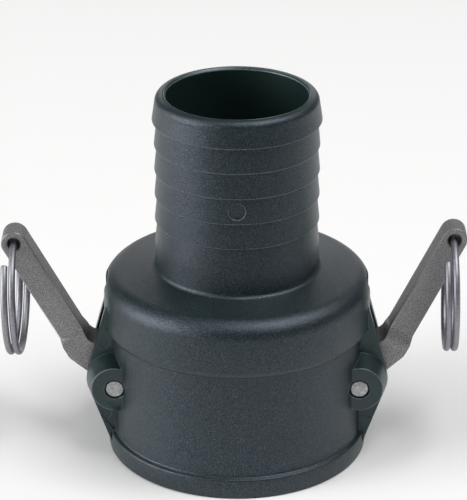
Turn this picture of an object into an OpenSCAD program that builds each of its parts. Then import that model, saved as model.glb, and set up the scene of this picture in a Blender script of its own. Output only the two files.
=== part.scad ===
// Cam and groove coupling for a 2 inch hose: a moulded socket with a barbed hose tail,
// two cast cam arms on cross pins, a flat gasket and a pull ring of coiled wire on each arm.
// The socket opens downwards, the hose tail points up, and the arms swing out along X.
// Millimetres. The origin is the centre of the socket's lower face.

/* [Hose tail] */
// Diameter over the barb crests
crest_d = 51.9; // [50.6:0.1:53]
// How much wider the end barb is than the others
end_crest_extra = 1.2; // [0:0.1:2]
// Depth of the valley under each crest
valley_depth = 0.8; // [0.4:0.1:1.4]
// Distance from one crest to the next
barb_pitch = 8.3; // [6:0.1:10]
// Number of barbs
barb_count = 5; // [3:1:7]
// Distance from the end barb's crest to the mouth
nose_len = 8.4; // [5:0.1:12]
// Diameter of the plain neck under the barbs
neck_d = 52; // [50.6:0.1:54]
// Length of the plain neck
neck_len = 8; // [5:0.1:20]
// Outer diameter at the mouth
mouth_d = 51.3; // [49:0.1:52]
// Rounding of the mouth's outer edge
mouth_round = 2.6; // [0.5:0.1:3]
// Diameter of the waterway
tail_bore_d = 44.4; // [40:0.1:45.5]
// Diameter of the flat moulding mark on the front of the tail
mark_d = 5.2; // [3:0.1:7]
// Depth of the moulding mark under the barbs' valleys
mark_depth = 0.15; // [0:0.05:0.4]

/* [Socket body] */
// Height of the body under the hose tail
body_h = 62.3; // [60:0.1:66]
// Diameter of the barrel
barrel_d = 80.8; // [79:0.1:83]
// Diameter of the flange at the open end
flange_d = 83.6; // [82:0.1:88]
// Height of the flange
flange_h = 6.8; // [4:0.1:9]
// Diameter of the band round the gasket
band_d = 85.3; // [84:0.1:87]
// Height of the band's lower edge
band_z = 41.6; // [41:0.1:43]
// Rounding of the band's lower edge
band_round = 3; // [1.5:0.1:3.5]
// Rounding of the shoulder
shoulder_round = 6.1; // [3:0.1:7.5]
// Fall of the shoulder's top, in degrees
shoulder_fall = 7; // [0:0.5:10]
// Fillet between the shoulder and the neck
neck_fillet = 1.5; // [0.5:0.1:3]
// Rounding of the flange's edges
flange_round = 0.8; // [0.3:0.1:1.5]

/* [Socket and gasket] */
// Outer diameter of the adapter that goes into the socket
adapter_d = 63; // [62:0.1:64]
// Clearance round the adapter
adapter_clearance = 0.5; // [0.2:0.05:0.8]
// Depth of the socket up to the gasket
socket_depth = 46; // [45:0.1:47]
// Lead-in chamfer at the socket's mouth
lead_in = 1; // [0.5:0.1:2]
// Bore of the gasket
gasket_bore_d = 50.8; // [48:0.1:54]
// Thickness of the gasket
gasket_t = 6.4; // [5:0.1:7]
// How far the gasket's groove is cut behind the socket wall
groove_undercut = 1.5; // [1:0.1:2]
// Clearance round the gasket
gasket_clearance = 0.1; // [0.05:0.05:0.3]

/* [Ears] */
// Width of the slot between the two plates of an ear
slot_w = 11.4; // [10.6:0.1:12]
// Thickness of one plate
plate_t = 4; // [3.4:0.1:5]
// Radius of an ear's nose round the pin
ear_nose_r = 9.4; // [8.5:0.1:10.5]
// Height of the pin's axis
pivot_z = 25.9; // [25:0.1:26.5]
// How far the pin's axis lies inside the barrel's surface
pivot_inset = 1.5; // [1:0.1:2]
// Height at which an ear's upper edge meets the band
ear_top_z = 47.7; // [46:0.1:50]
// Height at which an ear's lower edge meets the flange
ear_foot_z = 6.2; // [5:0.1:8]
// Length of the pin boss on each plate
boss_len = 7.6; // [5:0.1:9]
// Radius of the boss at its end face
boss_face_r = 7.45; // [6.5:0.05:8.5]
// Distance of the notch's floor from the band's surface
notch_depth = 1.4; // [1:0.1:1.8]
// Diameter of the round ejector marks on the plates
ejector_d = 3.2; // [2:0.1:3.6]

/* [Pivot pin] */
// Diameter of the pin
pin_d = 5.8; // [5:0.1:6.4]
// How far the pin's ends sit inside the bosses
pin_recess = 0.3; // [0:0.1:1]
// Clearance of the pin in the bosses
pin_fit = 0.04; // [0.02:0.01:0.08]
// Extra radius of the hole's mouth
pin_mouth = 0.35; // [0.2:0.05:0.6]

/* [Cam arm] */
// How far the left arm is swung out from the closed upright
tilt_left = 28.8; // [20:1:40]
// How far the right arm is swung out from the closed upright
tilt_right = 26.4; // [20:1:40]
// Thickness of the bar, seen from the side
arm_t = 8.1; // [7:0.1:8.6]
// Width of the bar along the pin
arm_w = 8.4; // [7:0.1:9]
// Rounding of the bar's edges
arm_edge = 0.4; // [0.2:0.1:1.5]
// Distance of the bar's centre line from the pin's axis
arm_offset = 6.15; // [5.9:0.05:6.6]
// Distance from the pin to the ring hole, along the bar
arm_len = 54.4; // [45:0.1:60]
// How far the foot swells out beyond the bar
heel_swell = 0.45; // [0.1:0.05:1]
// Height above the pin at which the heel turns in
heel_z = 12.4; // [11.5:0.1:13]
// Rounding of the heel
heel_round = 4; // [2:0.1:5]
// Height above the pin at which the inner fillet starts
crook_z = 15.6; // [15:0.1:16.4]
// Radius of the inner fillet
crook_r = 4.3; // [3:0.1:5]
// Radius of the head round the pin
head_r = 5.6; // [5.2:0.1:6.7]
// Reach of the cam's lobe from the pin's axis
lobe_reach = 11; // [10:0.1:11.4]
// Radius of the lobe's tip
lobe_r = 2.4; // [1.5:0.1:3]
// Direction of the lobe above the horizontal when the arm is upright
lobe_angle = 35; // [30:1:45]
// Clearance between the arm's foot and each plate
foot_clearance = 0.2; // [0.1:0.05:0.4]
// Clearance of the arm on its pin
arm_fit = 0.06; // [0.02:0.01:0.1]

/* [Pull ring] */
// Diameter of the ring's wire
wire_d = 2.2; // [1.6:0.1:2.6]
// Outer diameter of the ring
ring_d = 39.3; // [32:0.1:42]
// Number of turns of the coil
ring_turns = 1.79; // [1.5:0.01:1.85]
// Gap between the turns
ring_gap = 0.25; // [0.1:0.05:0.8]
// Play of the wire in the ring hole
ring_play = 0.95; // [0.8:0.05:1.2]
// How far a hanging ring has turned about the vertical, in degrees
ring_twist = -0.8; // [-3:0.1:3]
// How far the wire sits off the middle of the ring hole, along X
ring_shift = -0.2; // [-0.3:0.05:0.3]

/* [Hidden] */
LEFT = -1;
RIGHT = 1;
plastic = [0.20, 0.23, 0.26];
rubber = [0.08, 0.08, 0.08];
cast_steel = [0.48, 0.46, 0.45];
bright_steel = [0.72, 0.72, 0.72];

crest_r = crest_d / 2;
valley_r = crest_r - valley_depth;
neck_r = neck_d / 2;
mouth_r = mouth_d / 2;
tail_bore_r = tail_bore_d / 2;
mark_r = mark_d / 2;
barb_step = 0.25;
tail_len = nose_len + barb_count * barb_pitch + neck_len;
mouth_z = body_h + tail_len;

barrel_r = barrel_d / 2;
flange_r = flange_d / 2;
band_r = band_d / 2;
barrel_fillet = 0.8;

socket_r = adapter_d / 2 + adapter_clearance;
groove_r = socket_r + groove_undercut;
groove_h = gasket_t + gasket_clearance;
seat_z = socket_depth + groove_h;
seat_r = gasket_bore_d / 2;
seat_len = 2;
gasket_round = 0.6;
bore_chamfer = 0.65;

pivot_x = barrel_r - pivot_inset;
plate_in = slot_w / 2;
plate_out = plate_in + plate_t;
boss_out = plate_out + boss_len;
ear_root_x = (groove_r + barrel_r) / 2;
ear_mark_x = barrel_r + 1.8;
pin_r = pin_d / 2;
pin_hole_r = pin_r + pin_fit;
pin_chamfer = 0.4;
mouth_depth = 1.2;

foot_w = slot_w - 2 * foot_clearance;
foot_top = crook_z + 3;
ramp_h = 2.8;
lobe = (lobe_reach - lobe_r) * [-cos(lobe_angle), sin(lobe_angle)];
crook = [arm_offset - arm_t / 2 - crook_r, crook_z];
heel_x = arm_offset + arm_t / 2 + heel_swell;
heel = [heel_x - heel_round, heel_z];
ejector_depth = 0.15;
ejector_rise = 12.6;
window_gap = 1;
window_round = 1.5;
notch_x = band_r - notch_depth;

wire_r = wire_d / 2;
ring_hole_r = wire_r + ring_play;
ring_hole_chamfer = 0.35;
ring_r = ring_d / 2 - wire_r;
ring_pitch = wire_d + ring_gap;
ring_sag = ring_play / 2;
wire_sides = 12;
wire_steps = 108;

// Points on an arc of radius r round c, from angle a to angle b in n steps.
function arc(c, r, a, b, n) =
    [for (i = [0:n]) let (t = a + (b - a) * i / n) c + r * [cos(t), sin(t)]];

// The point where a line from p touches the circle of radius r round c.
// The side is 1 or -1, for the two lines that touch it.
function touch(p, c, r, side) =
    let (d = p - c, a = atan2(d[1], d[0]) + side * acos(r / norm(d)))
    c + r * [cos(a), sin(a)];

// Height of the shoulder's sloping top at the radius r.
function shoulder_z(r) = body_h - tan(shoulder_fall) * (r - neck_r);

// The tail's outline from the plain neck up to the end barb, one tooth for each barb.
function barb_outline() =
    [for (i = [barb_count - 1:-1:0])
        let (z = mouth_z - nose_len - i * barb_pitch, r = i == 0 ? crest_r + end_crest_extra / 2 : crest_r)
        each [[valley_r, z - barb_step], [r, z]]];

// The band's rounded lower edge, as far as the step to the barrel lets it turn.
function band_outline() =
    let (ledge = band_r - barrel_r, turn = acos(min(1, max(0, 1 - ledge / band_round))),
         low = [band_r - band_round, band_z + band_round])
    concat([[barrel_r, low[1] - band_round * sin(turn)]], arc(low, band_round, -turn, 0, 8));

function shoulder_outline() =
    let (r = band_r - shoulder_round, f = neck_r + neck_fillet,
         high = [r, shoulder_z(r) - shoulder_round / cos(shoulder_fall)],
         low = [f, shoulder_z(f) + neck_fillet / cos(shoulder_fall)])
    concat(arc(high, shoulder_round, 0, 90 - shoulder_fall, 14),
           arc(low, neck_fillet, 270 - shoulder_fall, 180, 6));

// Half of the body's section, in radius and height.
module body_section() {
    top = mouth_z - mouth_round;
    polygon(concat(
        [[socket_r + lead_in, 0]],
        arc([flange_r - flange_round, flange_round], flange_round, -90, 0, 4),
        arc([flange_r - flange_round, flange_h - flange_round], flange_round, 0, 90, 4),
        arc([barrel_r + barrel_fillet, flange_h + barrel_fillet], barrel_fillet, 270, 180, 4),
        band_outline(),
        shoulder_outline(),
        [[neck_r, body_h + neck_len]],
        barb_outline(),
        arc([mouth_r - mouth_round, top], mouth_round, 0, 90, 8),
        [[tail_bore_r + bore_chamfer, mouth_z], [tail_bore_r, mouth_z - bore_chamfer]],
        [[tail_bore_r, body_h], [seat_r, seat_z + seat_len], [seat_r, seat_z]],
        [[groove_r, seat_z], [groove_r, socket_depth], [socket_r, socket_depth]],
        [[socket_r, lead_in]]
    ));
}

// Turns an outline in X and Z into a plate from y0 to y1.
module upright(y0, y1) {
    translate([0, y1, 0]) rotate([90, 0, 0]) linear_extrude(y1 - y0) children();
}

// One ear plate from the side: a round nose with edges that run to the band and to the flange.
module ear_outline() {
    pivot = [pivot_x, pivot_z];
    high = [band_r, ear_top_z];
    low = [flange_r, ear_foot_z];
    high_touch = touch(high, pivot, ear_nose_r, -1);
    low_touch = touch(low, pivot, ear_nose_r, 1);
    // The edges run on into the band and the flange, where they end inside the wall.
    high_end = high + (high - high_touch) * (notch_depth / (high_touch[0] - high[0]));
    low_end = low + (low - low_touch) * (notch_depth / (low_touch[0] - low[0]));
    translate(pivot) circle(r = ear_nose_r, $fn = 96);
    polygon([[ear_root_x, low_end[1]], low_end, low_touch, pivot, high_touch, high_end,
             [ear_root_x, high_end[1]]]);
}

// The two plates of one ear with a tapered boss on each.
module ear() {
    for (face = [0, 1]) mirror([0, face, 0]) {
        upright(plate_in, plate_out) ear_outline();
        translate([pivot_x, plate_out, pivot_z]) rotate([-90, 0, 0])
            cylinder(h = boss_len, r1 = ear_nose_r, r2 = boss_face_r, $fn = 96);
    }
}

// Two shallow ejector marks on each plate, above and below the boss.
module ejector_marks() {
    for (face = [0, 1], up = [-1, 1]) mirror([0, face, 0])
        translate([ear_mark_x, plate_out - ejector_depth, pivot_z + up * ejector_rise])
            rotate([-90, 0, 0]) cylinder(h = plate_t, r = ejector_d / 2, $fn = 32);
}

// The pin hole through both plates, wider at its mouths.
module pin_hole() {
    translate([pivot_x, 0, pivot_z]) rotate([90, 0, 0])
        cylinder(h = 4 * boss_out, r = pin_hole_r, center = true, $fn = 64);
    for (face = [0, 1]) mirror([0, face, 0])
        translate([pivot_x, boss_out - mouth_depth, pivot_z]) rotate([-90, 0, 0])
            cylinder(h = boss_out, r = pin_hole_r + pin_mouth, $fn = 64);
}

// The window in the barrel through which the cam reaches the adapter.
module arm_window() {
    inner = touch(lobe, crook, crook_r, 1);
    high = pivot_z + norm(inner) + window_gap;
    low = pivot_z - lobe_reach - window_gap;
    rotate([90, 0, 90]) linear_extrude(2 * barrel_r) difference() {
        translate([-plate_in, low]) square([slot_w, high - low]);
        for (side = [0, 1]) mirror([side, 0]) translate([plate_in - window_round, low + window_round])
            difference() {
                translate([0, -window_round]) square(window_round);
                circle(r = window_round, $fn = 32);
            }
    }
}

// The shallow notch in the band that the closed arm lies in.
module arm_notch() {
    translate([notch_x, -plate_in, band_z - 1]) cube([band_r, slot_w, body_h - band_z + 2]);
}

// The flat moulding mark on the front of the tail.
module moulding_mark() {
    z = mouth_z - nose_len - 2.5 * barb_pitch;
    translate([0, mark_depth - valley_r, z]) rotate([90, 0, 0])
        cylinder(h = crest_d, r = mark_r, $fn = 48);
}

module body() {
    color(plastic) difference() {
        union() {
            rotate_extrude($fn = 180) body_section();
            difference() {
                for (side = [0, 1]) mirror([side, 0, 0]) ear();
                cylinder(h = 2 * body_h, r = (socket_r + barrel_r) / 2, center = true, $fn = 180);
            }
        }
        for (side = [0, 1]) mirror([side, 0, 0]) {
            pin_hole();
            ejector_marks();
            arm_window();
            arm_notch();
        }
        moulding_mark();
    }
}

// A flat ring with rounded edges, seated against the top of its groove.
module gasket() {
    outer = groove_r - gasket_clearance;
    e = gasket_round;
    color(rubber) translate([0, 0, seat_z - gasket_t]) rotate_extrude($fn = 180) polygon(concat(
        arc([outer - e, e], e, -90, 0, 4),
        arc([outer - e, gasket_t - e], e, 0, 90, 4),
        arc([seat_r + e, gasket_t - e], e, 90, 180, 4),
        arc([seat_r + e, e], e, 180, 270, 4)
    ));
}

module pivot_pin(side) {
    half = boss_out - pin_recess;
    color(bright_steel) translate([side * pivot_x, half, pivot_z]) rotate([90, 0, 0])
        rotate_extrude($fn = 64) polygon([
            [0, 0], [pin_r - pin_chamfer, 0], [pin_r, pin_chamfer],
            [pin_r, 2 * half - pin_chamfer], [pin_r - pin_chamfer, 2 * half], [0, 2 * half]
        ]);
}

// The head and foot of an upright arm from the side, with the pin's axis at the origin.
module arm_foot_outline() {
    // The line from the lobe to the inner fillet touches both circles on opposite sides.
    span = crook - lobe;
    lean = atan2(span[1], span[0]) - asin((crook_r + lobe_r) / norm(span));
    normal = [-sin(lean), cos(lean)];
    under = atan2(lobe[1], lobe[0]) + acos((head_r - lobe_r) / norm(lobe));
    turn = atan2(heel[1], heel[0]) - acos((head_r - heel_round) / norm(heel));
    outward = [cos(turn), sin(turn)];
    circle(r = head_r, $fn = 96);
    translate(lobe) circle(r = lobe_r, $fn = 64);
    translate(heel) circle(r = heel_round, $fn = 96);
    polygon(concat(
        [head_r * outward, heel + heel_round * outward, heel, [heel_x, heel_z]],
        [[heel_x, foot_top - ramp_h], [arm_offset + arm_t / 2, foot_top]],
        [[crook[0] + crook_r, foot_top]],
        arc(crook, crook_r, 0, lean - 90, 10),
        [lobe + lobe_r * normal, lobe, lobe + lobe_r * [cos(under), sin(under)]],
        [head_r * [cos(under), sin(under)]]
    ));
}

// The foot's width along the pin, ramping down to the bar's width at its top.
module foot_width_outline() {
    w = foot_w / 2;
    polygon([
        [-w, -2 * head_r], [w, -2 * head_r], [w, foot_top - ramp_h], [arm_w / 2, foot_top],
        [-arm_w / 2, foot_top], [-w, foot_top - ramp_h]
    ]);
}

// The bar's section with rounded edges.
module bar_section() {
    square([arm_t, arm_w - 2 * arm_edge], center = true);
    square([arm_t - 2 * arm_edge, arm_w], center = true);
    for (x = [-1, 1], y = [-1, 1])
        translate([x * (arm_t / 2 - arm_edge), y * (arm_w / 2 - arm_edge)])
            circle(r = arm_edge, $fn = 32);
}

// The round end of the bar, its section turned through half a circle.
module arm_tip() {
    rotate([90, 0, 0]) rotate_extrude(angle = 180, $fn = 96) intersection() {
        bar_section();
        translate([0, -arm_w]) square([arm_t, 2 * arm_w]);
    }
}

module ring_hole() {
    half = arm_w / 2;
    rotate([90, 0, 0]) {
        cylinder(h = 2 * arm_w, r = ring_hole_r, center = true, $fn = 48);
        for (face = [0, 1]) mirror([0, 0, face]) translate([0, 0, half - ring_hole_chamfer])
            cylinder(h = 2 * ring_hole_chamfer, r1 = ring_hole_r,
                     r2 = ring_hole_r + 2 * ring_hole_chamfer, $fn = 48);
    }
}

// One arm standing upright, with the pin's axis at the origin and its outer side at +X.
module upright_arm() {
    difference() {
        union() {
            intersection() {
                upright(-foot_w / 2, foot_w / 2) arm_foot_outline();
                translate([-arm_len, 0, 0]) rotate([90, 0, 90])
                    linear_extrude(2 * arm_len) foot_width_outline();
            }
            translate([arm_offset, 0, foot_top]) linear_extrude(arm_len - foot_top) bar_section();
            translate([arm_offset, 0, arm_len]) arm_tip();
        }
        rotate([90, 0, 0]) cylinder(h = 2 * slot_w, r = pin_r + arm_fit, center = true, $fn = 64);
        translate([arm_offset, 0, arm_len]) ring_hole();
    }
}

module cam_arm(side, tilt) {
    color(cast_steel) translate([side * pivot_x, 0, pivot_z]) mirror([side < 0 ? 1 : 0, 0, 0])
        rotate([0, tilt, 0]) upright_arm();
}

// Centre of the ring hole on a tilted arm.
function ring_hole_centre(side, tilt) =
    [side * (pivot_x + arm_offset * cos(tilt) + arm_len * sin(tilt)), 0,
     pivot_z - arm_offset * sin(tilt) + arm_len * cos(tilt)];

// One circle of the wire's skin at the coil angle t, counted from the strand in the hole.
function wire_circle(t) =
    [for (k = [0:wire_sides - 1])
        let (a = 360 * k / wire_sides, r = ring_r + wire_r * cos(a))
        [wire_r * sin(a) - ring_pitch * t / 360, r * sin(t), r * cos(t) - ring_r]];

// An open coil of wire that hangs from the strand in the arm's hole.
module pull_ring(side, tilt) {
    half_turn = 180 * ring_turns;
    points = [for (i = [0:wire_steps]) each wire_circle(half_turn * (2 * i / wire_steps - 1))];
    n = wire_sides;
    skin = [for (i = [0:wire_steps - 1], k = [0:n - 1])
        [i * n + k, (i + 1) * n + k, (i + 1) * n + (k + 1) % n, i * n + (k + 1) % n]];
    start_cap = [[for (k = [0:n - 1]) k]];
    end_cap = [[for (k = [n - 1:-1:0]) wire_steps * n + k]];
    color(bright_steel) translate(ring_hole_centre(side, tilt) + [ring_shift, 0, -ring_sag])
        rotate([0, 0, ring_twist]) polyhedron(points, concat(skin, start_cap, end_cap));
}

body();
gasket();
pivot_pin(LEFT);  // pivot_pin_left
pivot_pin(RIGHT);  // pivot_pin_right
cam_arm(LEFT, tilt_left);  // cam_arm_left
cam_arm(RIGHT, tilt_right);  // cam_arm_right
pull_ring(LEFT, tilt_left);  // pull_ring_left
pull_ring(RIGHT, tilt_right);  // pull_ring_right
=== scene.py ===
# %% [markdown]
# # A cam and groove coupling
# The coupling joins a hose to an adapter without tools: the hose is pushed over the
# barbed tail, the adapter goes up into the socket, and two cam arms pull it against a
# gasket. The CAD model already has every size right. This script gives the pieces
# their fine edges, their finishes, the studio light and the camera.
#
# First comes the imported CAD model. It stays where it is, and its box is kept.

# %% Load the CAD frame
import math
import bmesh
import bpy
from mathutils import Matrix, Vector, bvhtree, kdtree


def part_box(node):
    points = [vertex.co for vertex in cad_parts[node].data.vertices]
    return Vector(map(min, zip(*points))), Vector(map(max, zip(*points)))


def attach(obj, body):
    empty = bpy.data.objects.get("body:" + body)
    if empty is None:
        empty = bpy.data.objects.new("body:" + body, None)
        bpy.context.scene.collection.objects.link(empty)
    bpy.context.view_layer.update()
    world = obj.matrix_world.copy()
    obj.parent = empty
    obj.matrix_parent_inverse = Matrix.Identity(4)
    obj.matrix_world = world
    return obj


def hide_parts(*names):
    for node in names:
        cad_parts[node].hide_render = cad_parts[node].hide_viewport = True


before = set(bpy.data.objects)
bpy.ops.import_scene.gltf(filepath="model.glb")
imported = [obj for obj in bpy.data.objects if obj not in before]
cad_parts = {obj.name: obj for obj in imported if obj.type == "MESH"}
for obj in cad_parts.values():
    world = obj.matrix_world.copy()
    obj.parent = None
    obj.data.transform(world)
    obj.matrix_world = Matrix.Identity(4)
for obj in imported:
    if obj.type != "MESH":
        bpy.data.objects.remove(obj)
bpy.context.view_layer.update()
MM = 0.001

# %% [markdown]
# ## Camera
# The photograph looks down on the coupling at 24.5 degrees from 0.79 m, through a long
# lens, so the upright lines stay nearly parallel. The socket's axis stands a little
# right of the picture's middle, and a shift of the lens puts it there without turning
# the view.

# %% Camera
PICTURE_W, PICTURE_H = 467, 500
SENSOR = 36.0
FOCAL_PX = 2483.4
ELEVATION = math.radians(24.5)
DISTANCE = 788.4 * MM
AIM = Vector((0, 0, 66.8 * MM))
AXIS_PX = 237.1
NEAREST, FARTHEST = 0.05, 20.0

camera_data = bpy.data.cameras.new("camera")
camera_data.lens = FOCAL_PX * SENSOR / max(PICTURE_W, PICTURE_H)
camera_data.sensor_width = SENSOR
camera_data.shift_x = (PICTURE_W / 2 - AXIS_PX) / max(PICTURE_W, PICTURE_H)
camera_data.clip_start, camera_data.clip_end = NEAREST, FARTHEST
camera = bpy.data.objects.new("camera", camera_data)
back = Vector((0, -math.cos(ELEVATION), math.sin(ELEVATION)))
camera.location = AIM + back * DISTANCE
camera.rotation_euler = back.to_track_quat("Z", "Y").to_euler()
bpy.context.scene.collection.objects.link(camera)
bpy.context.scene.camera = camera
print("lens", round(camera_data.lens, 1), "mm, shift", round(camera_data.shift_x, 4))

# %% [markdown]
# ## Small helpers for colour and nodes
# Colours are written as the eye sees them, in sRGB hex, and one function turns them to
# the linear values that the renderer works in. One more function adds a shader node
# with its settings and its links and gives back the socket that the next node needs,
# so that each finish below reads as a short list.
#
# Noise nodes give values from 0 to 1 that mostly lie near the middle. Two spans say
# which part of them a finish stretches over its full range.

# %% Colour and node helpers
WIDE_SPAN = {"From_Min": 0.3, "From_Max": 0.7}
SOFT_SPAN = {"From_Min": 0.35, "From_Max": 0.65}


def linear(code):
    """An sRGB hex colour as linear red, green, blue and alpha."""
    parts = [int(code[i:i + 2], 16) / 255 for i in (1, 3, 5)]
    return [c / 12.92 if c <= 0.04045 else ((c + 0.055) / 1.055) ** 2.4 for c in parts] + [1.0]


def add(tree, kind, settings=None, out=None, **inputs):
    """Adds a node and returns one output: the one named out, or the first in use.

    Inputs are values or sockets. Their names have _ for spaces, or n0, n1 for a place.
    """
    made = tree.nodes.new(kind)
    for key, value in (settings or {}).items():
        setattr(made, key, value)
    for key, value in inputs.items():
        named = [s for s in made.inputs if s.name.replace(" ", "_") == key and s.enabled]
        socket = named[0] if named else made.inputs[int(key.lstrip("n"))]
        if isinstance(value, bpy.types.NodeSocket):
            tree.links.new(value, socket)
        else:
            socket.default_value = value
    ready = [s for s in made.outputs if s.enabled and (out is None or s.name == out)]
    return ready[0] if ready else None


def new_material(name):
    """An empty material, its tree and the object's own coordinates in millimetres."""
    material = bpy.data.materials.new(name)
    material.use_nodes = True
    tree = material.node_tree
    tree.nodes.clear()
    place = add(tree, "ShaderNodeTexCoord", out="Object")
    mm = add(tree, "ShaderNodeVectorMath", {"operation": "SCALE"}, Vector=place, Scale=1 / MM)
    return material, tree, mm


print("helpers ready")

# %% [markdown]
# ## Glass-filled polypropylene of the body
# The body is injection moulded in black-green polypropylene with short glass fibres.
# It is nearly black by itself, and what the eye sees is its satin skin: broad cool
# highlights without a mirror image. Fibres at the skin make a fine pale speckle, and
# the turned mould leaves faint rings round the axis. The edges, above all the barbs'
# crests, carry a painted highlight, a paler colour that draws each barb as a thin line.
#
# A flat dark colour would look like paint. The speckle and the grain are noise of
# about a third of a millimetre, coarser than real fibres, because finer would not
# show. The grain has three parts: tiny slopes, painted shade that tints the reflection
# darker in the grain's low places, and a change of gloss. The rings are noise read along
# radius and height only. The painted edge highlight comes from a mask that the edge step
# below leaves on the mesh.
#
# The skin isn't equally rough everywhere. A polished core shapes the waterway, and the
# ears come out smooth as well, so in both places the grain and the fibres are weaker
# and the resin shows its own green-black. They are found by distance: the waterway lies
# inside one radius, and the ears lie outside another and near the middle plane.

# %% Body plastic
GRAIN_MM = 0.32
GRAIN_DEPTH_MM = 0.12
PIT_SHADE_SPAN = {"From_Min": 0.38, "From_Max": 0.5}
FIBRE_MM = 0.3
FIBRE_SPAN = {"From_Min": 0.58, "From_Max": 0.74}
CLOUD_MM = 16.0
RINGS_MM = 0.5
RINGS_DEPTH_MM = 0.02
BORE_MM = 24.0
BORE_GRAIN = 0.15
EARS_MM = 41.0
EARS_HALF_MM = 19.8
EARS_GRAIN = 0.25
BLEND_MM = 0.3
SATIN_GLOSS = {"To_Min": 0.29, "To_Max": 0.44}
POLISHED_GLOSS = 0.34
EDGE_STRIP_GLOSS = 0.32
EDGE_HIGHLIGHT_PATCHES = {"From_Min": 0.35, "From_Max": 0.6, "To_Min": 0.15, "To_Max": 1.0}
PLASTIC_IOR = 1.7


def body_plastic():
    material, tree, mm = new_material("glass_filled_polypropylene")
    grain = add(tree, "ShaderNodeTexNoise", Vector=mm, Scale=1 / GRAIN_MM, Detail=2.0,
                Roughness=0.6)
    cloud = add(tree, "ShaderNodeTexNoise", Vector=mm, Scale=1 / CLOUD_MM, Detail=2.0)
    fibre = add(tree, "ShaderNodeTexNoise", Vector=mm, Scale=1 / FIBRE_MM, Detail=1.0)
    flat = add(tree, "ShaderNodeVectorMath", {"operation": "MULTIPLY"}, n0=mm, n1=(1, 1, 0))
    radius = add(tree, "ShaderNodeVectorMath", {"operation": "LENGTH"}, out="Value", n0=flat)
    height = add(tree, "ShaderNodeSeparateXYZ", out="Z", Vector=mm)
    section = add(tree, "ShaderNodeCombineXYZ", X=radius, Y=height, Z=cloud)
    rings = add(tree, "ShaderNodeTexNoise", Vector=section, Scale=1 / RINGS_MM, Detail=2.0)

    off_core = add(tree, "ShaderNodeMapRange", Value=radius, From_Min=BORE_MM - BLEND_MM,
                   From_Max=BORE_MM + BLEND_MM, To_Min=BORE_GRAIN, To_Max=1.0)
    within = add(tree, "ShaderNodeMapRange", Value=radius, From_Min=EARS_MM - BLEND_MM,
                 From_Max=EARS_MM + BLEND_MM, To_Min=1.0, To_Max=EARS_GRAIN)
    depth = add(tree, "ShaderNodeSeparateXYZ", out="Y", Vector=mm)
    across = add(tree, "ShaderNodeMath", {"operation": "ABSOLUTE"}, n0=depth)
    beside = add(tree, "ShaderNodeMapRange", Value=across,
                 From_Min=EARS_HALF_MM - BLEND_MM, From_Max=EARS_HALF_MM + BLEND_MM,
                 To_Min=EARS_GRAIN, To_Max=1.0)
    off_ears = add(tree, "ShaderNodeMath", {"operation": "MAXIMUM"}, n0=within, n1=beside)
    texture = add(tree, "ShaderNodeMath", {"operation": "MULTIPLY"}, n0=off_core, n1=off_ears)

    drift = add(tree, "ShaderNodeMapRange", Value=cloud, **SOFT_SPAN)
    pigment = add(tree, "ShaderNodeMix", {"data_type": "RGBA"}, Factor=drift,
                  A=linear("#061516"), B=linear("#091a1c"))
    speck = add(tree, "ShaderNodeMapRange", Value=fibre, **FIBRE_SPAN)
    skin = add(tree, "ShaderNodeMix", {"data_type": "RGBA"}, Factor=texture,
               A=linear("#182927"), B=pigment)
    shown = add(tree, "ShaderNodeMath", {"operation": "MULTIPLY"}, n0=speck, n1=texture)
    fibred = add(tree, "ShaderNodeMix", {"data_type": "RGBA"}, Factor=shown,
                 A=skin, B=linear("#4c5657"))
    # Painted highlight: outer edges and barb crests get a paler colour, broken into patches.
    wear_and_highlight = add(tree, "ShaderNodeAttribute", {"attribute_name": "rubbed_edge"}, out="Fac")
    patchy = add(tree, "ShaderNodeMapRange", Value=grain, **EDGE_HIGHLIGHT_PATCHES)
    patchy_edge_highlight = add(tree, "ShaderNodeMath", {"operation": "MULTIPLY"}, n0=wear_and_highlight, n1=patchy)
    colour = add(tree, "ShaderNodeMix", {"data_type": "RGBA"}, Factor=patchy_edge_highlight,
                 A=fibred, B=linear("#69747a"))

    satin = add(tree, "ShaderNodeMapRange", Value=grain, **WIDE_SPAN, **SATIN_GLOSS)
    moulded = add(tree, "ShaderNodeMix", {"data_type": "FLOAT"}, Factor=off_core,
                  A=POLISHED_GLOSS, B=satin)
    gloss = add(tree, "ShaderNodeMix", {"data_type": "FLOAT"}, Factor=wear_and_highlight,
                A=moulded, B=EDGE_STRIP_GLOSS)
    # Painted shade: the reflection's tint is darker where the grain is low, in its pits.
    pit_shade = add(tree, "ShaderNodeMapRange", Value=grain, **PIT_SHADE_SPAN)
    mirror = add(tree, "ShaderNodeMix", {"data_type": "RGBA"}, Factor=pit_shade,
                 A=linear("#959fae"), B=linear("#e0ecff"))
    tint = add(tree, "ShaderNodeMix", {"data_type": "RGBA"}, Factor=texture,
               A=linear("#c6d8da"), B=mirror)
    turned = add(tree, "ShaderNodeBump", Strength=0.35, Distance=RINGS_DEPTH_MM * MM,
                 Height=rings)
    grained = add(tree, "ShaderNodeBump", Strength=texture, Distance=GRAIN_DEPTH_MM * MM,
                  Height=grain, Normal=turned)
    shader = add(tree, "ShaderNodeBsdfPrincipled", Base_Color=colour, Roughness=gloss,
                 Normal=grained, IOR=PLASTIC_IOR, Specular_Tint=tint)
    add(tree, "ShaderNodeOutputMaterial", Surface=shader)
    return material


plastic = body_plastic()
print(plastic.name, len(plastic.node_tree.nodes), "nodes")

# %% [markdown]
# ## Cast and blasted steel of the arms
# The arms are investment castings in stainless steel, blasted with fine grit after
# casting. The grit leaves thousands of tiny pits that scatter the light, so the metal
# looks a matte grey with a sandy grain. A rough metal does this, with a bump at the
# size of the grit and painted shade, a colour that darkens in the grit's low places.
# The edges are worn smoother and lose the grit, because the blast and the hand polish
# them, and their colour is painted a little paler as a highlight.

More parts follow.
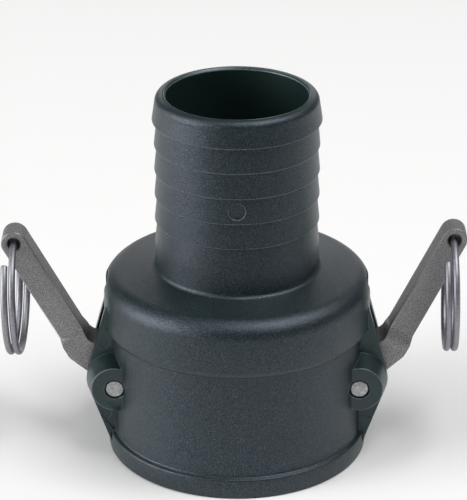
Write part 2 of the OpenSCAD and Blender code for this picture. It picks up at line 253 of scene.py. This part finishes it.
# %% Arm steel
GRIT_MM = 0.32
GRIT_DEPTH_MM = 0.08
GRIT_SPAN = {"From_Min": 0.34, "From_Max": 0.66}
BLASTED_GLOSS = {"To_Min": 0.62, "To_Max": 0.50}
PATCH_MM = 6.0
PATCH_SHARE = 0.4
WORN_GLOSS = 0.44


def arm_steel():
    material, tree, mm = new_material("blasted_cast_stainless_steel")
    grit = add(tree, "ShaderNodeTexNoise", Vector=mm, Scale=1 / GRIT_MM, Detail=2.0,
               Roughness=0.7)
    patch = add(tree, "ShaderNodeTexNoise", Vector=mm, Scale=1 / PATCH_MM, Detail=2.0)
    # Painted shade: the colour is darker where the grit is low.
    pit_shade = add(tree, "ShaderNodeMapRange", Value=grit, **GRIT_SPAN)
    pit_shaded = add(tree, "ShaderNodeMix", {"data_type": "RGBA"}, Factor=pit_shade,
                 A=linear("#474648"), B=linear("#c5c4c6"))
    stain = add(tree, "ShaderNodeMapRange", Value=patch, **SOFT_SPAN)
    tone = add(tree, "ShaderNodeMix", {"data_type": "RGBA"}, Factor=stain,
               A=linear("#878687"), B=linear("#919092"))
    cast = add(tree, "ShaderNodeMix", {"data_type": "RGBA"}, Factor=PATCH_SHARE,
               A=pit_shaded, B=tone)
    wear_and_highlight = add(tree, "ShaderNodeAttribute", {"attribute_name": "rubbed_edge"}, out="Fac")
    # Outer edges: worn free of grit, and painted a little paler as a highlight.
    colour = add(tree, "ShaderNodeMix", {"data_type": "RGBA"}, Factor=wear_and_highlight,
                 A=cast, B=linear("#959392"))
    matte = add(tree, "ShaderNodeMapRange", Value=grit, **WIDE_SPAN, **BLASTED_GLOSS)
    gloss = add(tree, "ShaderNodeMix", {"data_type": "FLOAT"}, Factor=wear_and_highlight,
                A=matte, B=WORN_GLOSS)
    bump = add(tree, "ShaderNodeBump", Strength=0.6, Distance=GRIT_DEPTH_MM * MM, Height=grit)
    shader = add(tree, "ShaderNodeBsdfPrincipled", Base_Color=colour, Roughness=gloss,
                 Normal=bump, Metallic=1.0)
    add(tree, "ShaderNodeOutputMaterial", Surface=shader)
    return material


steel = arm_steel()
print(steel.name, len(steel.node_tree.nodes), "nodes")

# %% [markdown]
# ## Drawn wire of the rings
# The rings are coiled from drawn stainless wire. Drawing leaves a satin surface with a
# long soft highlight along each turn, less bright than polished steel.

# %% Ring wire
DRAWN_MM = 0.8
DRAWN_GLOSS = {"To_Min": 0.45, "To_Max": 0.53}


def ring_wire():
    material, tree, mm = new_material("drawn_stainless_wire")
    streak = add(tree, "ShaderNodeTexNoise", Vector=mm, Scale=1 / DRAWN_MM, Detail=3.0)
    share = add(tree, "ShaderNodeMapRange", Value=streak, **WIDE_SPAN)
    tone = add(tree, "ShaderNodeMix", {"data_type": "RGBA"}, Factor=share,
               A=linear("#8b8b91"), B=linear("#9f9fa6"))
    gloss = add(tree, "ShaderNodeMapRange", Value=streak, **WIDE_SPAN, **DRAWN_GLOSS)
    shader = add(tree, "ShaderNodeBsdfPrincipled", Base_Color=tone, Roughness=gloss,
                 Metallic=1.0)
    add(tree, "ShaderNodeOutputMaterial", Surface=shader)
    return material


wire_finish = ring_wire()
print(wire_finish.name, len(wire_finish.node_tree.nodes), "nodes")

# %% [markdown]
# ## Cut bar of the pins
# The pins are cut from bar, and their faces keep the torn lines of the cut. Noise that
# is stretched along one direction draws such lines, and the same noise makes the face
# rougher between them.

# %% Pin steel
CUT_MM = 0.3
CUT_STRETCH = 2.5
CUT_TURN = math.radians(35)
CUT_DEPTH_MM = 0.05
CUT_GLOSS = {"To_Min": 0.55, "To_Max": 0.42}


def pin_steel():
    material, tree, mm = new_material("cut_bar_steel")
    along = add(tree, "ShaderNodeMapping", Vector=mm, Rotation=(0, CUT_TURN, 0),
                Scale=(1 / CUT_STRETCH, 1, 1))
    lines = add(tree, "ShaderNodeTexNoise", Vector=along, Scale=1 / CUT_MM, Detail=3.0,
                Roughness=0.6)
    share = add(tree, "ShaderNodeMapRange", Value=lines, **WIDE_SPAN)
    tone = add(tree, "ShaderNodeMix", {"data_type": "RGBA"}, Factor=share,
               A=linear("#828283"), B=linear("#c5c5c6"))
    gloss = add(tree, "ShaderNodeMapRange", Value=lines, **WIDE_SPAN, **CUT_GLOSS)
    bump = add(tree, "ShaderNodeBump", Strength=0.4, Distance=CUT_DEPTH_MM * MM, Height=lines)
    shader = add(tree, "ShaderNodeBsdfPrincipled", Base_Color=tone, Roughness=gloss,
                 Normal=bump, Metallic=1.0)
    add(tree, "ShaderNodeOutputMaterial", Surface=shader)
    return material


pin_finish = pin_steel()
print(pin_finish.name, len(pin_finish.node_tree.nodes), "nodes")

# %% [markdown]
# ## Rubber of the gasket
# The gasket is black nitrile rubber with the dull skin of its mould and a faint bloom
# that makes parts of it greyer.

# %% Gasket rubber
BLOOM_MM = 0.6
BLOOM_DEPTH_MM = 0.04
BLOOM_GLOSS = {"To_Min": 0.55, "To_Max": 0.68}
RUBBER_IOR = 1.52


def gasket_rubber():
    material, tree, mm = new_material("nitrile_rubber")
    skin = add(tree, "ShaderNodeTexNoise", Vector=mm, Scale=1 / BLOOM_MM, Detail=3.0)
    share = add(tree, "ShaderNodeMapRange", Value=skin, **WIDE_SPAN)
    tone = add(tree, "ShaderNodeMix", {"data_type": "RGBA"}, Factor=share,
               A=linear("#1b1b1c"), B=linear("#262627"))
    gloss = add(tree, "ShaderNodeMapRange", Value=skin, **WIDE_SPAN, **BLOOM_GLOSS)
    bump = add(tree, "ShaderNodeBump", Strength=0.25, Distance=BLOOM_DEPTH_MM * MM,
               Height=skin)
    shader = add(tree, "ShaderNodeBsdfPrincipled", Base_Color=tone, Roughness=gloss,
                 Normal=bump, IOR=RUBBER_IOR)
    add(tree, "ShaderNodeOutputMaterial", Surface=shader)
    return material


rubber = gasket_rubber()
print(rubber.name, len(rubber.node_tree.nodes), "nodes")

# %% [markdown]
# ## The last step of every piece
# Each piece is made in its own way, and all end alike. The mesh is shaded smooth and
# gets its one material. The object rides on the body that carries it, and stands for
# one node of the CAD model, so that it moves with the right joint.

# %% Finished pieces
def finish_piece(mesh, name, body, node_name, material):
    """Links a mesh as the piece that stands for a CAD node and rides on its body."""
    for face in mesh.polygons:
        face.use_smooth = True
    mesh.materials.clear()
    mesh.materials.append(material)
    piece = bpy.data.objects.new(name, mesh)
    bpy.context.scene.collection.objects.link(piece)
    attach(piece, body)
    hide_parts(node_name)


# %% [markdown]
# ## How wide each edge can be rounded
# A moulding and a casting have no razor edges: each edge is rounded by a few tenths of
# a millimetre, and that thin round is what catches the light as a fine line. A Bevel
# modifier rounds every edge that turns by more than 32 degrees.
#
# One width for all would fail where two edges run close together, as at a shallow
# step: the modifier's own clamp then thins every edge of the piece. So each edge gets
# a weight. It is the full width where there is room, and two fifths of the distance to
# the nearest edge that runs beside it where there is not.

# %% Edge weights
EDGE_ANGLE = math.radians(32)
ROOM_SHARE = 0.4
SAMPLE = 0.3 * MM
TOUCHING = 0.03 * MM
LEAST_ROOM = 0.1 * MM
PROBES = (0.1, 0.5, 0.9)
TURNS_AWAY = 0.7
RUNS_ALONG = 0.8
LIES_BESIDE = 0.35


def weigh_edges(bm, width):
    """Weights for the Bevel modifier: each sharp edge's share of the width."""
    weight = bm.edges.layers.float.new("bevel_weight_edge")
    sharp = [e for e in bm.edges if e.calc_face_angle(0) > EDGE_ANGLE]
    samples = []
    for edge in sharp:
        a, b = (v.co for v in edge.verts)
        count = max(1, int((b - a).length / SAMPLE))
        samples += [(a.lerp(b, (i + 0.5) / count), (b - a).normalized(), edge.index)
                    for i in range(count)]
    tree = kdtree.KDTree(len(samples))
    for i, (place, _, _) in enumerate(samples):
        tree.insert(place, i)
    tree.balance()
    chosen = set(sharp)
    for edge in sharp:
        a, b = (v.co for v in edge.verts)
        along = (b - a).normalized()
        room = min(width / ROOM_SHARE, 2 * (b - a).length)
        for other in {e for v in edge.verts for e in v.link_edges} - {edge}:
            p, q = (v.co for v in other.verts)
            if other not in chosen or abs((q - p).normalized().dot(along)) < TURNS_AWAY:
                room = min(room, (q - p).length)
        for point in (a.lerp(b, share) for share in PROBES):
            for place, i, _ in tree.find_range(point, room):
                _, direction, owner = samples[i]
                offset = place - point
                beside = (offset - along * offset.dot(along)).length
                parallel = (abs(direction.dot(along)) > RUNS_ALONG
                            and beside > LIES_BESIDE * offset.length)
                if owner != edge.index and parallel and beside > TOUCHING:
                    room = min(room, beside)
        edge[weight] = ROOM_SHARE * room / width if room > LEAST_ROOM else 0
    return len(sharp)


print("edges that turn by", round(math.degrees(EDGE_ANGLE)), "degrees are rounded")

# %% [markdown]
# ## Clean copies of the CAD solids
# The CAD model comes as loose triangles. Each solid is copied, the triangles are joined
# at their corners, and those that lie in one plane are merged, so that only real edges
# are left for the modifier.

# %% Clean copies
MERGE = 0.002 * MM
FLAT_ANGLE = math.radians(0.5)


def merged_copy(node_name, width):
    """A mesh of a CAD node with its triangles merged and its sharp edges weighed."""
    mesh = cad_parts[node_name].data.copy()
    for layer in ("custom_normal", "sharp_edge", "sharp_face"):
        if layer in mesh.attributes:
            mesh.attributes.remove(mesh.attributes[layer])
    bm = bmesh.new()
    bm.from_mesh(mesh)
    bmesh.ops.remove_doubles(bm, verts=bm.verts, dist=MERGE)
    bmesh.ops.dissolve_limit(bm, angle_limit=FLAT_ANGLE, verts=bm.verts, edges=bm.edges)
    for face in bm.faces:
        face.smooth = True
    bm.edges.index_update()
    print(node_name, weigh_edges(bm, width), "sharp edges")
    bm.to_mesh(mesh)
    bm.free()
    mesh.materials.clear()
    return mesh


print("corners within", round(MERGE / MM, 3), "mm become one")

# %% [markdown]
# ## Rounds without spikes
# Where edges run into each other at a sharp angle, as at the pin's hole beside the
# barrel, a round can shoot out as a spike. So the rounded mesh is compared with the CAD
# surface, the edges at each spike are left sharp, and the round is made again.

# %% Spikes
SPIKE_SHARE = 0.5
SPIKE_TRIES = 8
SPIKE_ENDS = 2


def leave_sharp(mesh, tips):
    """Takes the weight off the edges that are nearest to the tips of spikes."""
    weights = mesh.attributes["bevel_weight_edge"].data
    ends = sorted({i for e in mesh.edges if weights[e.index].value > 0 for i in e.vertices})
    tree = kdtree.KDTree(len(ends))
    for i, end in enumerate(ends):
        tree.insert(mesh.vertices[end].co, i)
    tree.balance()
    bad = {ends[i] for tip in tips for _, i, _ in tree.find_n(tip, SPIKE_ENDS)}
    for edge in mesh.edges:
        if bad & set(edge.vertices):
            weights[edge.index].value = 0


print("a spike stands out by over", SPIKE_SHARE, "of the width")

# %% [markdown]
# ## Which edges are worn and which get a painted highlight
# Hands and hoses rub the outer edges of the steel arms and never the inner corners, and on
# the plastic body the same outer edges get a painted highlight. The modifier gives its rounded
# strips a second material index, which tells them from the faces, and an edge is an outer one
# if the mesh bends outward there. The CAD model has some fine rounds of its own, and those are
# told by their narrow faces. A finish reads the result as a mask named rubbed_edge.

# %% Worn and highlighted edges
NARROW = 0.12 * MM
STRIP_ANGLE = math.radians(4)


def is_rounded_edge(face):
    """True for the modifier's strips on outer edges, and for the CAD's own fine rounds."""
    longest = max(e.calc_length() for e in face.edges)
    bends = [e.calc_face_angle_signed(0) for e in face.edges if e.calc_length() > longest / 2]
    fine_round = (face.calc_area() < NARROW * longest and len(bends) > 1
                  and min(bends) > STRIP_ANGLE)
    outer = sum(e.calc_face_angle_signed(0) for e in face.edges) > 0
    return fine_round or (face.material_index == 1 and outer)


print("faces under", round(NARROW / MM, 2), "mm wide count as fine rounds")

# %% [markdown]
# ## The body, the gasket and the arms
# These four have shapes that the CAD model gives in full, so each is a clean copy with
# rounded edges. The widths are those of the real processes: the moulding has rounds of
# about a fifth of a millimetre, the castings a little more, and the rubber the least.

# %% Rounded pieces
STRIPS = 2


def rounded(mesh, width):
    """The mesh with its edges rounded, and the rubbed_edge mask on the outer ones."""
    for name in ("piece", "rounded_edge"):
        mesh.materials.append(bpy.data.materials.new(name))
    rough = bpy.data.objects.new("rough", mesh)
    bpy.context.scene.collection.objects.link(rough)
    bevel = rough.modifiers.new("fine_edges", "BEVEL")
    bevel.width, bevel.segments, bevel.material = width, STRIPS, 1
    bevel.limit_method, bevel.use_clamp_overlap = "WEIGHT", False
    bevel.harden_normals = True
    bevel.miter_outer = "MITER_ARC"
    surface = bvhtree.BVHTree.FromPolygons([v.co for v in mesh.vertices],
                                           [tuple(p.vertices) for p in mesh.polygons])
    for attempt in range(SPIKE_TRIES):
        graph = bpy.context.evaluated_depsgraph_get()
        smooth = bpy.data.meshes.new_from_object(rough.evaluated_get(graph), depsgraph=graph)
        tips = [v.co.copy() for v in smooth.vertices
                if surface.find_nearest(v.co)[3] > SPIKE_SHARE * width]
        print("  try", attempt + 1, "has", len(tips), "spike points")
        if not tips:
            break
        leave_sharp(mesh, tips)
        mesh.update()
        mesh.update_tag()
        rough.update_tag()
    bpy.data.objects.remove(rough)
    bm = bmesh.new()
    bm.from_mesh(smooth)
    outer = [float(is_rounded_edge(f)) for f in bm.faces]
    bm.free()
    smooth.attributes.new("rubbed_edge", "FLOAT", "FACE").data.foreach_set("value", outer)
    smooth.polygons.foreach_set("material_index", [0] * len(outer))
    return smooth


for name, node_name, body, material, slot, width in (
        ("moulded_body", "body", "coupler", plastic, "body_plastic", 0.22),
        ("flat_gasket", "gasket", "coupler", rubber, "gasket_rubber", 0.1),
        ("left_cam_arm", "cam_arm_left", "left_arm", steel, "arm_steel", 0.25),
        ("right_cam_arm", "cam_arm_right", "right_arm", steel, "arm_steel", 0.25)):
    shaped = rounded(merged_copy(node_name, width * MM), width * MM)
    finish_piece(shaped, name, body, node_name, material)
    print(name, len(shaped.vertices), "vertices,", len(shaped.polygons), "faces")

# %% [markdown]
# ## Pivot pins
# Each pin is a length of bar through both plates and the arm. It could be a plain
# cylinder, but the eye looks straight at its end: the rim has a small turned round.
# A circle is extruded along the pin and its two rims are beveled.

# %% Pivot pins
PIN_ROUND = 0.4 * MM
PIN_ROUND_STEPS = 3
PIN_SIDES = 64
RIM_ANGLE = math.radians(60)


def mesh_from(bm, name):
    """Turns a finished bmesh into a mesh and frees it."""
    mesh = bpy.data.meshes.new(name)
    bm.to_mesh(mesh)
    bm.free()
    return mesh


def pivot_pin(name, node_name):
    low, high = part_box(node_name)
    centre, radius = (low + high) / 2, (high.x - low.x) / 2
    bm = bmesh.new()
    bmesh.ops.create_circle(bm, cap_ends=True, radius=radius, segments=PIN_SIDES)
    bmesh.ops.rotate(bm, verts=bm.verts, matrix=Matrix.Rotation(math.radians(90), 3, "X"))
    bmesh.ops.translate(bm, verts=bm.verts, vec=(centre.x, low.y, centre.z))
    pushed = bmesh.ops.extrude_face_region(bm, geom=bm.faces[:])
    moved = [v for v in pushed["geom"] if isinstance(v, bmesh.types.BMVert)]
    bmesh.ops.translate(bm, verts=moved, vec=(0, high.y - low.y, 0))
    bm.normal_update()
    rims = [e for e in bm.edges if e.calc_face_angle() > RIM_ANGLE]
    bmesh.ops.bevel(bm, geom=rims, offset=PIN_ROUND, affect="EDGES",
                    segments=PIN_ROUND_STEPS, profile=0.5, material=-1)
    bmesh.ops.recalc_face_normals(bm, faces=bm.faces)
    print(name, len(bm.faces), "faces")
    finish_piece(mesh_from(bm, name), name, "coupler", node_name, pin_finish)


pivot_pin("left_pivot_pin", "pivot_pin_left")
pivot_pin("right_pivot_pin", "pivot_pin_right")

# %% [markdown]
# ## Pull rings
# A pull ring is wire coiled to almost two turns, like a key ring. A torus would close
# on itself and lose the cut ends, and a curve would need converting. The wire's round
# section is spun about the ring's axis instead, with a small step sideways at each
# turn of the spin, which makes the coil. The cut ends are filled and slightly rounded.

# %% Pull rings
WIRE_R = 1.1 * MM
RING_R = 18.55 * MM
RING_PITCH = 2.45 * MM
RING_TURNS = 1.79
RING_TWIST = math.radians(-0.8)
WIRE_SIDES = 24
COIL_STEPS = 300
CUT_ROUND = 0.15 * MM
CUT_ROUND_STEPS = 2


def pull_ring(name, node_name, body):
    low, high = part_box(node_name)
    hang = Vector(((low.x + high.x) / 2, 0, high.z - WIRE_R))
    total = 2 * math.pi * RING_TURNS
    axle = Vector((0, 0, -RING_R))
    bm = bmesh.new()
    bmesh.ops.create_circle(bm, cap_ends=False, radius=WIRE_R, segments=WIRE_SIDES)
    bmesh.ops.rotate(bm, verts=bm.verts, matrix=Matrix.Rotation(math.radians(90), 3, "X"))
    bmesh.ops.rotate(bm, verts=bm.verts, cent=axle,
                     matrix=Matrix.Rotation(total / 2, 3, "X"))
    bmesh.ops.translate(bm, verts=bm.verts, vec=(RING_PITCH * RING_TURNS / 2, 0, 0))
    step = -RING_PITCH * RING_TURNS / COIL_STEPS
    bmesh.ops.spin(bm, geom=bm.verts[:] + bm.edges[:], cent=axle, axis=(1, 0, 0),
                   dvec=(step, 0, 0), angle=-total, steps=COIL_STEPS, use_merge=False)
    ends = [e for e in bm.edges if len(e.link_faces) == 1]
    caps = bmesh.ops.holes_fill(bm, edges=ends, sides=WIRE_SIDES)["faces"]
    rims = [e for f in caps for e in f.edges]
    bmesh.ops.bevel(bm, geom=rims, offset=CUT_ROUND, affect="EDGES",
                    segments=CUT_ROUND_STEPS, profile=0.5, material=-1)
    bmesh.ops.recalc_face_normals(bm, faces=bm.faces)
    bmesh.ops.rotate(bm, verts=bm.verts, matrix=Matrix.Rotation(RING_TWIST, 3, "Z"))
    bmesh.ops.translate(bm, verts=bm.verts, vec=hang)
    print(name, len(bm.faces), "faces")
    finish_piece(mesh_from(bm, name), name, body, node_name, wire_finish)


pull_ring("left_pull_ring", "pull_ring_left", "left_ring")
pull_ring("right_pull_ring", "pull_ring_right", "right_ring")

# %% [markdown]
# ## Floor and room
# The photograph shows the coupling on white. The floor is a pale board, and the
# lamps are set so that it comes out just under white, with the coupling's soft shadow
# on it. The room beyond gives only a little light, because a bright room would fill in
# the dark middle of the tail. A satin surface mirrors the floor as well, so in front of
# the coupling, outside the picture, the board is painted a light grey: painted shade that
# darkens what the coupling mirrors there.

# %% Floor and world
FLOOR_SIZE = 6.0
PAINTED_SHADE_START, PAINTED_SHADE_FULL = 70 * MM, 300 * MM
ROOM_LIGHT = 0.12


def floor_board():
    bm = bmesh.new()
    bmesh.ops.create_grid(bm, x_segments=1, y_segments=1, size=FLOOR_SIZE / 2)
    board = bpy.data.objects.new("floor", mesh_from(bm, "floor"))
    bpy.context.scene.collection.objects.link(board)
    material = bpy.data.materials.new("pale_board")
    material.use_nodes = True
    tree = material.node_tree
    tree.nodes.clear()
    place = add(tree, "ShaderNodeTexCoord", out="Object")
    depth = add(tree, "ShaderNodeSeparateXYZ", out="Y", Vector=place)
    # Painted shade: the board's colour fades to grey towards the front.
    pale = add(tree, "ShaderNodeMapRange", Value=depth, From_Min=-PAINTED_SHADE_FULL,
               From_Max=-PAINTED_SHADE_START)
    tone = add(tree, "ShaderNodeMix", {"data_type": "RGBA"}, Factor=pale,
               A=linear("#b9b9b8"), B=linear("#f3f3f2"))
    matte = add(tree, "ShaderNodeBsdfDiffuse", Color=tone)
    add(tree, "ShaderNodeOutputMaterial", Surface=matte)
    board.data.materials.append(material)


def studio_world():
    world = bpy.data.worlds.new("studio")
    world.use_nodes = True
    tree = world.node_tree
    tree.nodes.clear()
    room = add(tree, "ShaderNodeBackground", Color=linear("#f2f4f6"), Strength=ROOM_LIGHT)
    add(tree, "ShaderNodeOutputWorld", Surface=room)
    bpy.context.scene.world = world


floor_board()
studio_world()
print("floor", FLOOR_SIZE, "m wide, room light", ROOM_LIGHT)

# %% [markdown]
# ## Lamps
# Soft boxes stand on a circle round the coupling. Two low and wide ones on the left
# draw the long highlight down the left of the tail and the barrel. One at the left and
# one at the front right hang high and light the shoulder's round. The others are
# weaker and keep the far sides from going black. Each is placed by its direction round
# the coupling and its height above the horizon, both in degrees, with 0 at the front
# and 90 at the right.

# %% Lamps
LAMP_DISTANCE = 2.2
MIDDLE = Vector((0, 0, 60 * MM))


def soft_box(name, around, above, width, height, watts):
    data = bpy.data.lights.new(name, "AREA")
    data.shape = "RECTANGLE"
    data.size, data.size_y, data.energy = width, height, watts
    lamp = bpy.data.objects.new(name, data)
    a, e = math.radians(around), math.radians(above)
    out = Vector((math.sin(a) * math.cos(e), -math.cos(a) * math.cos(e), math.sin(e)))
    lamp.location = MIDDLE + out * LAMP_DISTANCE
    lamp.rotation_euler = out.to_track_quat("Z", "Y").to_euler()
    bpy.context.scene.collection.objects.link(lamp)
    print(name, watts, "W")


soft_box("left", 270, 13, 1.2, 1.0, 18)
soft_box("front_left", 295, 14, 0.9, 1.0, 20)
soft_box("left_high", 290, 42, 0.9, 0.9, 11)
soft_box("front_right_high", 60, 65, 1.2, 1.2, 28)
soft_box("overhead", 290, 78, 1.3, 1.3, 2)
soft_box("right_high", 95, 55, 1.2, 1.2, 10)
soft_box("behind", 180, 14, 2.0, 0.9, 6)
bpy.context.scene.view_settings.view_transform = "Standard"
